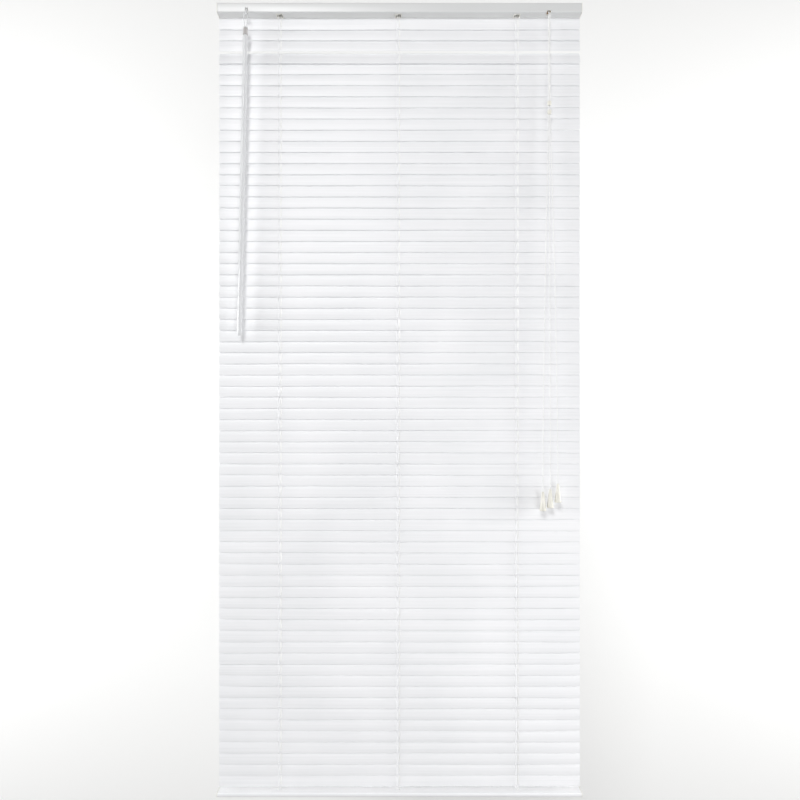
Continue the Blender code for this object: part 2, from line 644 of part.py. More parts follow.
def pull_cord(index, finish):
    x = LOCK_X + (index - 1) * PULL_CORD_PITCH
    end_x = LOCK_X + TASSEL_X[index]
    top = TASSEL_TOP[index]
    knot = STOP_TOP[1] - STOP_HEIGHT
    route = [
        (x, NIP_Y - 0.0035, FLOOR + 0.0018),
        (x, EXIT_Y + 0.0008, FLOOR - 0.0012),
        (x, EXIT_Y, FLOOR - 0.0060),
        (x, EXIT_Y - 0.0002, -0.050),
        (x, (EXIT_Y + STOP_Y) / 2, -0.120),
        (x, STOP_Y, STOP_TOP[0] + 0.004),
        (x, STOP_Y, STOP_TOP[0] - STOP_HEIGHT / 2),
        (x, STOP_Y, STOP_TOP[1]),
        (x, STOP_Y, knot - 0.002),
        (x + (end_x - x) * 0.13, STOP_Y + (TASSEL_Y - STOP_Y) * 0.1, knot + (top - knot) * 0.10),
        (x + (end_x - x) * 0.55, STOP_Y + (TASSEL_Y - STOP_Y) * 0.5, knot + (top - knot) * 0.4),
        (x + (end_x - x) * 0.92, STOP_Y + (TASSEL_Y - STOP_Y) * 0.9, knot + (top - knot) * 0.8),
        (end_x, TASSEL_Y, top + 0.015),
        (end_x, TASSEL_Y, top + GAP),
    ]
    return cord("pull_cord_" + SIDES[index], smooth_route(route, 27), LIFT_CORD, finish)


def cord_stop(name, top, finish):
    """A moulded stop that grips the three cords side by side."""
    hole_x = PULL_CORD_PITCH + LIFT_CORD / 2 + GAP
    hole_y = LIFT_CORD / 2 + GAP
    wall = 0.0016
    shape = turned([(0.8, 0), (1, 0.2), (1, 0.8), (0.8, 1)], (0, 0, 0), (0, 0, 1), 14)
    bmesh.ops.scale(shape, vec=(hole_x + wall, hole_y + wall, STOP_HEIGHT), verts=shape.verts)
    spot = (LOCK_X, STOP_Y, top - STOP_HEIGHT)
    bmesh.ops.translate(shape, vec=spot, verts=shape.verts)
    stop = place(name, shape, finish)
    low = (LOCK_X - hole_x, STOP_Y - hole_y, top - 2 * STOP_HEIGHT)
    return cut(stop, box(low, (LOCK_X + hole_x, STOP_Y + hole_y, top + STOP_HEIGHT)))


def tassel(index, finish):
    profile = [
        (TASSEL_TIP, 0),
        (TASSEL_TIP * 1.3, TASSEL_HEIGHT * 0.12),
        (TASSEL_RADIUS * 0.62, TASSEL_HEIGHT * 0.45),
        (TASSEL_RADIUS * 0.88, TASSEL_HEIGHT * 0.8),
        (TASSEL_RADIUS, TASSEL_HEIGHT * 0.95),
        (TASSEL_RADIUS * 0.94, TASSEL_HEIGHT),
        (TASSEL_RADIUS * 0.7, TASSEL_HEIGHT),
        (TASSEL_RADIUS * 0.5, TASSEL_HEIGHT * 0.8),
    ]
    start = (LOCK_X + TASSEL_X[index], TASSEL_Y, TASSEL_TOP[index])
    return place("tassel_" + SIDES[index], turned(profile, start, (0, 0, -1), 16), finish)


# The slats, crowned strips with a slot at each lift cord, and the ladder strings in front of and behind them


def slat_mesh(finish):
    radius = (SLAT_WIDTH**2 / 4 + SLAT_CROWN**2) / (2 * SLAT_CROWN)
    stations = [share * SLAT_WIDTH for share in SLAT_STATIONS]
    edges = [-SLAT_LENGTH / 2]
    for x in LADDER_X:
        edges += [x - SLOT_WIDTH / 2, x + SLOT_WIDTH / 2]
    edges.append(SLAT_LENGTH / 2)
    shape = bmesh.new()
    grid = [[shape.verts.new((x, s, math.sqrt(radius**2 - s**2) - radius)) for s in stations] for x in edges]
    for i in range(len(edges) - 1):
        for k in range(len(stations) - 1):
            in_slot = i % 2 == 1 and abs(stations[k] + stations[k + 1]) / 2 < SLOT_HALF_LENGTH
            if not in_slot:
                shape.faces.new((grid[i][k], grid[i + 1][k], grid[i + 1][k + 1], grid[i][k + 1]))
    bmesh.ops.recalc_face_normals(shape, faces=shape.faces)
    mesh = bpy.data.meshes.new("slat")
    shape.to_mesh(mesh)
    shape.free()
    mesh.materials.append(finish)
    return mesh


def slats(finish):
    """The slats that are solids: evenly spaced, whole pitches apart, from the first slat to the last."""
    mesh = slat_mesh(finish)
    pitches = max(1, round(SLAT_SPAN / SLAT_PITCH / (SOLID_SLATS - 1)))
    pitch = SLAT_SPAN / pitches / (SOLID_SLATS - 1)
    for index in range(SOLID_SLATS):
        slat = bpy.data.objects.new("slat_%02d" % (index + 1), mesh)
        bpy.context.scene.collection.objects.link(slat)
        slat.location = (0, MIDDLE_Y, FIRST_SLAT_Z - pitch * pitches * index)
        slat.rotation_euler.x = CLOSED_TILT
        solid = slat.modifiers.new("Thickness", "SOLIDIFY")
        solid.thickness = SLAT_THICKNESS
        solid.offset = 0


def ladder_string(name, x, y, finish):
    top = (x - LADDER_TO_CORD, y, FLOOR_TOP - GAP)
    bottom = (x - LADDER_TO_CORD, y, RAIL_TOP + GAP)
    return place(name, rod_between(bottom, top, LADDER_STRING / 2, 8), finish)


# The bottom rail: a hollow extrusion with a cap in each end and a plug under each ladder

PLUG_RADIUS = 0.0052
PLUG_HEAD = 0.0012
PLUG_SHANK = 0.0028
RAIL_CORNER = 0.0026


def rail_outline(inset):
    """A rectangle with rounded corners, drawn round the rail's middle."""
    half_y = HEADRAIL_DEPTH / 2 - inset
    half_z = BOTTOM_RAIL_HEIGHT / 2 - inset
    corner = RAIL_CORNER - inset
    middle = BOTTOM + BOTTOM_RAIL_HEIGHT / 2
    outline = []
    for quarter, (sy, sz) in enumerate(((1, 1), (-1, 1), (-1, -1), (1, -1))):
        for step in range(4):
            angle = math.pi / 2 * (quarter + step / 3)
            y = sy * (half_y - corner) + corner * math.cos(angle)
            z = sz * (half_z - corner) + corner * math.sin(angle)
            outline.append((MIDDLE_Y + y, middle + z))
    return outline


def bottom_rail(finish):
    end = HALF - CAP_THICKNESS - GAP
    rail = place("bottom_rail", extrusion(rail_outline(0), -end, end), finish)
    cut(rail, extrusion(rail_outline(BOTTOM_RAIL_WALL), -HALF, HALF))
    for x in LADDER_X:
        cord_hole = LIFT_CORD / 2 + 2 * GAP
        middle = BOTTOM + BOTTOM_RAIL_HEIGHT / 2
        cut(rail, rod_between((x, MIDDLE_Y, middle), (x, MIDDLE_Y, RAIL_TOP + GAP), cord_hole, 12))
        below = BOTTOM - GAP
        cut(rail, rod_between((x, MIDDLE_Y, below), (x, MIDDLE_Y, middle), PLUG_SHANK + GAP, 16))
    return rail


def rail_cap(name, side, finish):
    low_x, high_x = sorted((side * HALF, side * (HALF - CAP_THICKNESS)))
    cap = place(name, extrusion(rail_outline(0), low_x, high_x), finish)
    low_x, high_x = sorted((side * (HALF - CAP_THICKNESS / 2), side * (HALF - CAP_THICKNESS - CAP_BOSS)))
    return join(cap, extrusion(rail_outline(BOTTOM_RAIL_WALL + GAP), low_x, high_x))


def rail_plug(name, x, finish):
    """A button under the rail whose shank holds the knotted cord and the ladder's ends."""
    profile = [
        (PLUG_RADIUS * 0.8, 0),
        (PLUG_RADIUS, PLUG_HEAD * 0.5),
        (PLUG_RADIUS, PLUG_HEAD),
        (PLUG_SHANK, PLUG_HEAD),
        (PLUG_SHANK, PLUG_HEAD + GAP + BOTTOM_RAIL_WALL + 0.0012),
    ]
    start = (x, MIDDLE_Y, BOTTOM - GAP - PLUG_HEAD)
    return place(name, turned(profile, start, (0, 0, 1)), finish)


def build():
    for obj in list(bpy.data.objects):
        bpy.data.objects.remove(obj)
    enamel = material("white_enamel", (0.86, 0.86, 0.85), 0.35)
    vinyl = material("white_vinyl", (0.87, 0.87, 0.88), 0.45)
    nylon = material("white_nylon", (0.82, 0.82, 0.79), 0.5)
    clear = material("clear_acrylic", (0.85, 0.86, 0.87), 0.2, alpha=0.6)
    grey = material("grey_vinyl", (0.55, 0.56, 0.57), 0.5)
    steel = material("zinc_plated_steel", (0.55, 0.56, 0.58), 0.35, 1.0)
    brass = material("brass", (0.60, 0.42, 0.20), 0.35, 1.0)
    string = material("polyester_cord", (0.88, 0.88, 0.86), 0.8)
    cream = material("cream_polyethylene", (0.86, 0.85, 0.76), 0.4, alpha=0.85)

    headrail(enamel)
    end_cap("end_cap_left", -1, nylon)
    end_cap("end_cap_right", 1, nylon)
    tilt_rod(steel)
    for side, x in zip(SIDES, LADDER_X):
        cradle("cradle_" + side, x, nylon)
        drum("drum_" + side, x, nylon)
    tilter_housing(nylon)
    tilter_gear(nylon)
    tilter_worm(clear)
    wand_hook(clear)
    wand_sleeve(grey)
    wand(clear)
    cord_lock_housing(cream)
    cord_lock_roller(brass)
    cord_lock_pin(brass)
    for index in range(len(SIDES)):
        lift_cord(index, string)
        pull_cord(index, string)
        tassel(index, cream)
    cord_stop("cord_stop_upper", STOP_TOP[0], cream)
    cord_stop("cord_stop_lower", STOP_TOP[1], cream)
    slats(vinyl)
    for side, x in zip(SIDES, LADDER_X):
        ladder_string("ladder_front_" + side, x, FRONT_STRING_Y, string)
        ladder_string("ladder_back_" + side, x, BACK_STRING_Y, string)
        rail_plug("rail_plug_" + side, x, nylon)
    bottom_rail(vinyl)
    rail_cap("rail_cap_left", -1, nylon)
    rail_cap("rail_cap_right", 1, nylon)


build()
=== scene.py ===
import json
import math
import random

import bmesh
import bpy
from mathutils import Matrix, Vector


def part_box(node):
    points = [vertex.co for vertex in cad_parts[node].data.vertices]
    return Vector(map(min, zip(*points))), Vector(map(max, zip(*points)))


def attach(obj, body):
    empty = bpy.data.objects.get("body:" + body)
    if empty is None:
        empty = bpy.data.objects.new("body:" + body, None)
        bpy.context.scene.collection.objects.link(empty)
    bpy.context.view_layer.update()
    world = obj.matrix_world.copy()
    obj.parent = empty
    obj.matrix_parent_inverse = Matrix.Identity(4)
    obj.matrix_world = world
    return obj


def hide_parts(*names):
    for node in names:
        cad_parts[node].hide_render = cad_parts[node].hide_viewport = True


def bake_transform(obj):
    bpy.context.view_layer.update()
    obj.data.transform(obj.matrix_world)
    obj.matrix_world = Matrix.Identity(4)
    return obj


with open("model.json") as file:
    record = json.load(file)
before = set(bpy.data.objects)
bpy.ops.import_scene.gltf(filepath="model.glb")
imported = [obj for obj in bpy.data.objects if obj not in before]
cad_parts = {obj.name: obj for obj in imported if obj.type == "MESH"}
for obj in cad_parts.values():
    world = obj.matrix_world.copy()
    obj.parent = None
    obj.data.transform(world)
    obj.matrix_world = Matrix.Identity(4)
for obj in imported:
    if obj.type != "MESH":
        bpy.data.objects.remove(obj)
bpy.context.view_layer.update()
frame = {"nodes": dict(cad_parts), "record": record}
nodes = frame["nodes"]
bpy.ops.object.select_all(action="DESELECT")

# ---------------------------------------------------------------------------------------------
# Camera, backdrop and light. The blind hangs in front of a plain pale wall and is seen square on
# from its mid height, close enough that the headrail shows its underside and the bottom rail its top.

front_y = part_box("headrail")[0][1]
top_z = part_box("headrail")[1][2]
bottom_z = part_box("bottom_rail")[0][2]
view_distance = 1.30
bpy.ops.object.camera_add(location=(0.001, front_y - view_distance, (top_z + bottom_z) / 2))
camera = bpy.context.object
camera.name = "camera"
camera.rotation_euler = (math.pi / 2, 0, 0)
camera.data.sensor_width = 36
camera.data.lens = 28.6
bpy.context.scene.camera = camera


def linear(code, alpha=1.0):
    """An sRGB hex colour as the linear values that a shader takes."""
    parts = [int(code[i : i + 2], 16) / 255 for i in (1, 3, 5)]
    return (*(c / 12.92 if c <= 0.04045 else ((c + 0.055) / 1.055) ** 2.4 for c in parts), alpha)


def add(tree, kind, values=None, links=None, **settings):
    """Adds a node, sets its properties and input values, and links its inputs to other nodes' outputs."""
    node = tree.nodes.new(kind)
    for name, value in settings.items():
        setattr(node, name, value)
    for name, value in (values or {}).items():
        node.inputs[name].default_value = value
    for name, socket in (links or {}).items():
        tree.links.new(socket, node.inputs[name])
    return node


def new_material(name):
    """An empty material, its node tree and its Principled shader."""
    made = bpy.data.materials.new(name)
    made.use_nodes = True
    return made, made.node_tree, made.node_tree.nodes["Principled BSDF"]


def noise(tree, where, scale, detail):
    """The value of a noise texture over a set of coordinates."""
    texture = add(tree, "ShaderNodeTexNoise", {"Scale": scale, "Detail": detail}, {"Vector": where})
    return texture.outputs["Fac"]


def raised(tree, shader, strength, distance, height):
    """Raises and sinks a shader's surface by a texture's value."""
    bump = add(tree, "ShaderNodeBump", {"Strength": strength, "Distance": distance}, {"Height": height})
    tree.links.new(bump.outputs["Normal"], shader.inputs["Normal"])


def plaster():
    """Matt white wall paint over fine plaster: no gloss, and a faint roller grain."""
    made, tree, shader = new_material("matt_white_wall_paint")
    shader.inputs["Base Color"].default_value = linear("#F4F4F3")
    shader.inputs["Roughness"].default_value = 0.95
    place = add(tree, "ShaderNodeTexCoord").outputs["Object"]
    raised(tree, shader, 0.05, 0.0005, noise(tree, place, 220.0, 3.0))
    return made


wall_y = 1.5
bpy.ops.mesh.primitive_plane_add(size=1, location=(0, wall_y, 0))
wall = bpy.context.object
wall.name = "backdrop"
wall.scale = (12, 9, 1)
wall.rotation_euler = (math.pi / 2, 0, 0)
bpy.ops.object.transform_apply(location=True, rotation=True, scale=True)
wall.data.materials.append(plaster())


def soft_light(name, place, target, size, power):
    """A square softbox at a place, facing a target."""
    bpy.ops.object.light_add(type="AREA", location=place)
    lamp = bpy.context.object
    lamp.name = name
    lamp.data.shape = "SQUARE"
    lamp.data.size = size
    lamp.data.energy = power
    lamp.rotation_euler = (Vector(target) - Vector(place)).to_track_quat("-Z", "Y").to_euler()
    return lamp


middle_z = (top_z + bottom_z) / 2
soft_light("key_light", (-1.0, -4.0, middle_z + 2.7), (0, 0, middle_z), 1.2, 86)
soft_light("fill_light", (1.0, -3.2, middle_z - 0.8), (0, 0, middle_z - 0.4), 1.6, 35)
soft_light("wall_light_left", (-3.2, -0.5, middle_z), (-0.1, wall_y, middle_z), 2.2, 92)
soft_light("wall_light_right", (3.2, -0.5, middle_z), (0.1, wall_y, middle_z), 2.2, 92)
world = bpy.data.worlds.new("studio")
world.use_nodes = True
world.node_tree.nodes["Background"].inputs["Color"].default_value = linear("#FFFFFF")
world.node_tree.nodes["Background"].inputs["Strength"].default_value = 0.17
bpy.context.scene.world = world
bpy.context.scene.view_settings.view_transform = "Standard"

# ---------------------------------------------------------------------------------------------
# Headrail. A channel folded from thin steel strip, coated in white enamel that is baked on before
# it is folded. Its bends have a small radius that catches a bright line of light, and the floor is
# punched for the cradles, the tilter's stem and the cords.


def stretched(tree, where, scale):
    """Coordinates scaled apart along each axis, so that a texture over them runs in streaks."""
    return add(tree, "ShaderNodeMapping", {"Scale": scale}, {"Vector": where}).outputs["Vector"]


def tinted(tree, shader, shade, light_shade, amount, ends=(0.0, 1.0)):
    """Colours a shader between two shades by a texture's value."""
    ramp = add(tree, "ShaderNodeValToRGB", links={"Fac": amount})
    for element, code, end in zip(ramp.color_ramp.elements, (shade, light_shade), ends):
        element.position = end
        element.color = linear(code)
    tree.links.new(ramp.outputs["Color"], shader.inputs["Base Color"])


def roughened(tree, shader, least, most, amount):
    """Varies a shader's roughness between two values by a texture's value."""
    rough = add(tree, "ShaderNodeMapRange", {"To Min": least, "To Max": most}, {"Value": amount})
    tree.links.new(rough.outputs["Result"], shader.inputs["Roughness"])


def enamel():
    """Baked enamel on steel strip: satin, with a faint orange peel about a millimetre across. Its colour is
    painted shade: a grey darker than the white enamel, laid over the whole headrail so that its face and
    underside look shaded.
    """
    made, tree, shader = new_material("white_baked_enamel_painted_shade")
    place = add(tree, "ShaderNodeTexCoord").outputs["Object"]
    tone = noise(tree, stretched(tree, place, (6.0, 30.0, 30.0)), 1.0, 4.0)
    # Painted shade: both greys are darker than the white enamel itself, so the headrail's face and underside
    # look shaded. The noise between the two greys is the enamel's own uneven tone.
    tinted(tree, shader, "#CFD0D0", "#D9DADA", tone)
    roughened(tree, shader, 0.28, 0.40, tone)
    raised(tree, shader, 0.08, 0.0002, noise(tree, place, 900.0, 1.0))
    shader.inputs["Coat Weight"].default_value = 0.15
    shader.inputs["Coat Roughness"].default_value = 0.3
    return made


def only(piece):
    """Leaves one object selected and active."""
    bpy.ops.object.select_all(action="DESELECT")
    piece.select_set(True)
    bpy.context.view_layer.objects.active = piece


def softened(name, node, radius, finish, steps=3, angle=40):
    """A new piece on a node's own shape, with its flat faces whole again and its corners rounded."""
    mesh = nodes[node].data.copy()
    mesh.materials.clear()
    piece = bpy.data.objects.new(name, mesh)
    bpy.context.scene.collection.objects.link(piece)
    only(piece)
    bpy.ops.object.mode_set(mode="EDIT")
    bpy.ops.mesh.select_all(action="SELECT")
    bpy.ops.mesh.remove_doubles(threshold=0.00001)
    bpy.ops.mesh.dissolve_limited(angle_limit=math.radians(1.0))
    bpy.ops.object.mode_set(mode="OBJECT")
    round_off = piece.modifiers.new("Rounding", "BEVEL")
    round_off.width = radius
    round_off.segments = steps
    round_off.limit_method = "ANGLE"
    round_off.angle_limit = math.radians(angle)
    bpy.ops.object.modifier_apply(modifier=round_off.name)
    bpy.ops.object.shade_smooth_by_angle(angle=math.radians(35))
    piece.data.materials.append(finish)
    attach(piece, body_of_node[node])
    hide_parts(node)
    return piece


body_of_node = {}
for body, names in frame["record"]["behaviour"]["bodies"].items():
    for node_name in names:
        body_of_node[node_name] = body

# The headrail's enamel, darkened all over as painted shade.
enamel_with_painted_shade = enamel()


def folded_channel():
    """The channel's cross-section with rounded bends, drawn along its length."""
    start, end = (Vector(corner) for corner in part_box("headrail"))
    middle_y = (start.y + end.y) / 2
    half_depth = (end.y - start.y) / 2
    wall, bend, lip = 0.0008, 0.0021, 0.003
    outer = [(-half_depth + lip, end.z), (-half_depth, end.z), (-half_depth, start.z)]
    outer += [(-y, z) for y, z in reversed(outer)]
    bpy.ops.mesh.primitive_plane_add(size=1)
    piece = bpy.context.object
    piece.name = "headrail_shell"
    shape = bmesh.new()
    points = [shape.verts.new((start.x, middle_y + y, z)) for y, z in outer]
    for pair in zip(points, points[1:]):
        shape.edges.new(pair)
    bmesh.ops.bevel(shape, geom=points[1:-1], offset=bend, segments=5, profile=0.5, affect="VERTICES")
    grown = bmesh.ops.extrude_edge_only(shape, edges=list(shape.edges))
    moved = [v for v in grown["geom"] if isinstance(v, bmesh.types.BMVert)]
    bmesh.ops.translate(shape, vec=(end.x - start.x, 0, 0), verts=moved)
    bmesh.ops.recalc_face_normals(shape, faces=shape.faces)
    shape.to_mesh(piece.data)
    shape.free()
    only(piece)
    centre = Vector((0, middle_y, (start.z + end.z) / 2))
    face = min(piece.data.polygons, key=lambda p: p.center.z)
    inwards = 1 if face.normal.z < 0 else -1
    solid = piece.modifiers.new("Strip", "SOLIDIFY")
    solid.thickness = wall
    solid.offset = -inwards
    bpy.ops.object.modifier_apply(modifier=solid.name)
    return piece, centre


channel, channel_middle = folded_channel()


def punch(piece, place, size, turn=0.0, corner=0.0008):
    """Punches a round-cornered hole through a wall."""
    bpy.ops.mesh.primitive_cube_add(size=1, location=place, rotation=(turn, 0, 0))
    tool = bpy.context.object
    tool.scale = size
    bpy.ops.object.transform_apply(location=True, rotation=True, scale=True)
    if corner:
        edge = tool.modifiers.new("Corner", "BEVEL")
        edge.width = corner
        edge.segments = 3
        bpy.ops.object.modifier_apply(modifier=edge.name)
    only(piece)
    hole = piece.modifiers.new("Hole", "BOOLEAN")
    hole.operation = "DIFFERENCE"
    hole.object = tool
    hole.solver = "EXACT"
    bpy.ops.object.modifier_apply(modifier=hole.name)
    bpy.data.objects.remove(tool)


sides = ("left", "centre", "right")
cord_from_cradle_end = 0.013
cradle_hole = (0.0146, 0.0162, 0.006)
lock_hole = (0.009, 0.0134, 0.009)
stem_hole = (0.0062, 0.0085, 0.011)
stem_slope = math.radians(-30)
rail_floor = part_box("headrail")[0][2]
for side in sides:
    cord_x = Vector(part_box("cradle_" + side)[0]).x + cord_from_cradle_end
    punch(channel, (cord_x - 0.0025, channel_middle.y, rail_floor), cradle_hole)
lock_low, lock_high = (Vector(corner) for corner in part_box("cord_lock_housing"))
lock_x = (lock_low.x + lock_high.x) / 2
punch(channel, (lock_x, front_y + 0.0045, rail_floor), lock_hole)
worm_low, worm_high = (Vector(corner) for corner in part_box("tilter_worm"))
tilter_x = (worm_low.x + worm_high.x) / 2
punch(channel, (tilter_x, front_y, rail_floor + 0.0035), stem_hole, stem_slope)
only(channel)
bpy.ops.object.shade_smooth_by_angle(angle=math.radians(35))
channel.data.materials.append(enamel_with_painted_shade)
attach(channel, "headrail")
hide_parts("headrail")

# ---------------------------------------------------------------------------------------------
# End caps, cradles, drums, gear and tilter housing. Injection-moulded white nylon that clips into
# the channel: waxy, slightly cream, with rounded edges and the faint mottle of a moulding.


def moulded(name, shade, light_shade, roughness, milky=0.0, speckle_mm=1.5):
    """Moulded plastic: a soft mottle in the colour and a fine even texture from the mould."""
    made, tree, shader = new_material(name)
    place = add(tree, "ShaderNodeTexCoord").outputs["Object"]
    scale = 1000.0 / speckle_mm / 4
    tone = noise(tree, place, scale / 4, 3.0)
    tinted(tree, shader, shade, light_shade, tone, (0.35, 0.65))
    roughened(tree, shader, roughness - 0.06, roughness + 0.06, tone)
    raised(tree, shader, 0.12, 0.0001, noise(tree, place, scale * 4, 2.0))
    shader.inputs["Transmission Weight"].default_value = milky
    shader.inputs["IOR"].default_value = 1.49
    return made


white_nylon = moulded("white_moulded_nylon", "#E3E2DC", "#EEEDE8", 0.42)
for node in ("end_cap_left", "end_cap_right"):
    softened(node + "_moulding", node, 0.0007, white_nylon)
for side in sides:
    softened("cradle_%s_moulding" % side, "cradle_" + side, 0.00035, white_nylon, 2)
    softened("drum_%s_moulding" % side, "drum_" + side, 0.00025, white_nylon, 2)
softened("tilter_housing_moulding", "tilter_housing", 0.0005, white_nylon, 2)
softened("tilter_gear_moulding", "tilter_gear", 0.0002, white_nylon, 2)

# ---------------------------------------------------------------------------------------------
# Tilt rod. A hexagonal steel bar, drawn through a die and zinc plated, so it has long drawn
# scratches along it and a dull blue-grey sheen.


def metal(name, shade, light_shade, roughness, stretch):
    """Plated or drawn metal: streaks along the bar and a slightly uneven shine."""
    made, tree, shader = new_material(name)
    place = add(tree, "ShaderNodeTexCoord").outputs["Object"]
    streaks = noise(tree, stretched(tree, place, stretch), 1.0, 5.0)
    tinted(tree, shader, shade, light_shade, streaks)
    roughened(tree, shader, roughness - 0.1, roughness + 0.1, streaks)
    raised(tree, shader, 0.1, 0.00005, streaks)
    shader.inputs["Metallic"].default_value = 1.0
    return made


zinc_plate = metal("zinc_plated_steel", "#8E9193", "#B9BCBE", 0.35, (20.0, 900.0, 900.0))
softened("tilt_rod_bar", "tilt_rod", 0.0004, zinc_plate)

# ---------------------------------------------------------------------------------------------
# Tilter worm and wand hook. Clear acrylic that looks milky white where it is thick: the stem comes
# down out of the headrail at a slope, ends in a ball, and the hook's loop hangs on the ball.

milky_acrylic = moulded("milky_acrylic", "#EEF0F1", "#F7F8F8", 0.18, 0.35)
softened("tilter_worm_stem", "tilter_worm", 0.00015, milky_acrylic, 2, 60)
softened("wand_hook_loop", "wand_hook", 0.0002, milky_acrylic, 2, 60)
sleeve_vinyl = moulded("grey_soft_vinyl", "#A5A2A1", "#B9B6B5", 0.5)
softened("wand_sleeve_tube", "wand_sleeve", 0.0004, sleeve_vinyl)

# ---------------------------------------------------------------------------------------------
# Wand. A six-sided bar of clear acrylic, drawn and cut to length, with a thicker grip at the
# bottom. Its flats are glossy, and its edges are eased, so light runs down it in narrow bands.


def drawn_acrylic():
    """Drawn acrylic bar: pale grey where it is seen through, glossy, with faint lines along it."""
    made, tree, shader = new_material("drawn_clear_acrylic")
    place = add(tree, "ShaderNodeTexCoord").outputs["Object"]
    lines = noise(tree, stretched(tree, place, (700.0, 700.0, 8.0)), 1.0, 3.0)
    tinted(tree, shader, "#D9DBDD", "#F0F1F2", lines)
    raised(tree, shader, 0.15, 0.0001, lines)
    shader.inputs["Roughness"].default_value = 0.15
    shader.inputs["Transmission Weight"].default_value = 0.2
    shader.inputs["IOR"].default_value = 1.49
    return made


softened("wand_bar", "wand", 0.0007, drawn_acrylic())

# ---------------------------------------------------------------------------------------------
# Cord lock. A cream polyethylene housing that fills the corner cut in the headrail, with a knurled
# brass roller that drops down its sloping slots and pinches the cords against a fixed brass pin.

cream_plastic = moulded("cream_polyethylene", "#E6E4D9", "#F4F2EA", 0.38, 0.1)
softened("cord_lock_moulding", "cord_lock_housing", 0.0004, cream_plastic, 2)
old_brass = metal("dull_brass", "#8A6636", "#B98F55", 0.38, (300.0, 300.0, 300.0))
softened("cord_lock_guide_pin", "cord_lock_pin", 0.0002, old_brass, 2)


def knurled_roller():
    """The roller's barrel is rolled between toothed wheels, which raises fine straight ridges along it."""
    start, end = (Vector(corner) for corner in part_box("cord_lock_roller"))
    centre = (start + end) / 2
    outer = (end.z - start.z) / 2
    half = (end.x - start.x) / 2
    journal, barrel, rim = 0.0012, 0.0056, 0.0006
    ridges = 48
    bpy.ops.mesh.primitive_cylinder_add(
        vertices=ridges, radius=outer, depth=2 * barrel, rotation=(0, math.pi / 2, 0), location=centre
    )
    piece = bpy.context.object
    piece.name = "cord_lock_knurled_roller"
    bpy.ops.object.transform_apply(location=True, rotation=True, scale=True)
    groove = 0.93
    for point in piece.data.vertices:
        out = Vector((0, point.co.y - centre.y, point.co.z - centre.z))
        turn = round(math.atan2(out.z, out.y) / (2 * math.pi / ridges))
        if turn % 2:
            point.co.y = centre.y + out.y * groove
            point.co.z = centre.z + out.z * groove
    bpy.ops.object.mode_set(mode="EDIT")
    bpy.ops.mesh.select_all(action="DESELECT")
    bpy.ops.object.mode_set(mode="OBJECT")
    for face in piece.data.polygons:
        face.select = abs(face.normal.x) > 0.9
    bpy.ops.object.mode_set(mode="EDIT")
    bpy.ops.mesh.select_mode(type="FACE")
    bpy.ops.mesh.inset(thickness=rim, use_individual=True)
    bpy.ops.mesh.inset(thickness=outer * groove - rim - journal, use_individual=True)
    bpy.ops.mesh.extrude_region_shrink_fatten(TRANSFORM_OT_shrink_fatten={"value": half - barrel})
    bpy.ops.object.mode_set(mode="OBJECT")
    bpy.ops.object.shade_smooth_by_angle(angle=math.radians(25))
    piece.data.materials.append(old_brass)
    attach(piece, "cord_lock_roller")
    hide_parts("cord_lock_roller")


knurled_roller()

# ---------------------------------------------------------------------------------------------
# Slats. Rigid white vinyl, extruded as a thin crowned strip and cut to length, with a slot punched
# at every lift cord. Each hangs a little differently in its ladders, and each bows a little.


def extruded_vinyl():
    """Extruded vinyl: satin, cool white, with long soft die lines and a faint waviness along the strip."""
    made, tree, shader = new_material("extruded_white_vinyl")
    place = add(tree, "ShaderNodeTexCoord").outputs["Object"]
    lines = noise(tree, stretched(tree, place, (3.0, 400.0, 400.0)), 1.0, 4.0)
    cloudy = noise(tree, place, 7.0, 3.0)
    half = add(tree, "ShaderNodeMath", {1: 0.5}, {0: lines}, operation="MULTIPLY")
    terms = {0: cloudy, 2: half.outputs[0]}
    mixed = add(tree, "ShaderNodeMath", {1: 0.5}, terms, operation="MULTIPLY_ADD")
    tinted(tree, shader, "#E6E7E9", "#F2F2F4", mixed.outputs[0], (0.3, 0.7))
    roughened(tree, shader, 0.36, 0.50, cloudy)
    raised(tree, shader, 0.10, 0.0002, lines)
    shader.inputs["Subsurface Weight"].default_value = 0.05
    shader.inputs["Subsurface Radius"].default_value = (0.002, 0.002, 0.002)
    shader.inputs["Subsurface Scale"].default_value = 0.5
    return made


white_vinyl = extruded_vinyl()
first_low, first_high = (Vector(corner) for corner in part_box("slat_01"))
solid_slats = sorted(name for name in nodes if name.startswith("slat_"))
between = 4  # pitches from one solid slat to the next
slat_count = between * (len(solid_slats) - 1) + 1
slat_length = first_high.x - first_low.x
slat_width = 0.025
slat_thickness = 0.0004
slat_crown = 0.0010
closed_tilt = math.radians(80)
slat_y = channel_middle.y
ladder_x = [Vector(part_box("cradle_" + side)[0]).x + cord_from_cradle_end for side in sides]
first_z = (first_low.z + first_high.z) / 2
last_z = sum(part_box(solid_slats[-1])[i][2] for i in (0, 1)) / 2
crown_rise = slat_crown / 2 * math.cos(closed_tilt)  # the box's middle sits this far below the axis
slat_pitch = (first_z - last_z) / (slat_count - 1)
slot_length, slot_width = 0.0165, 0.0028


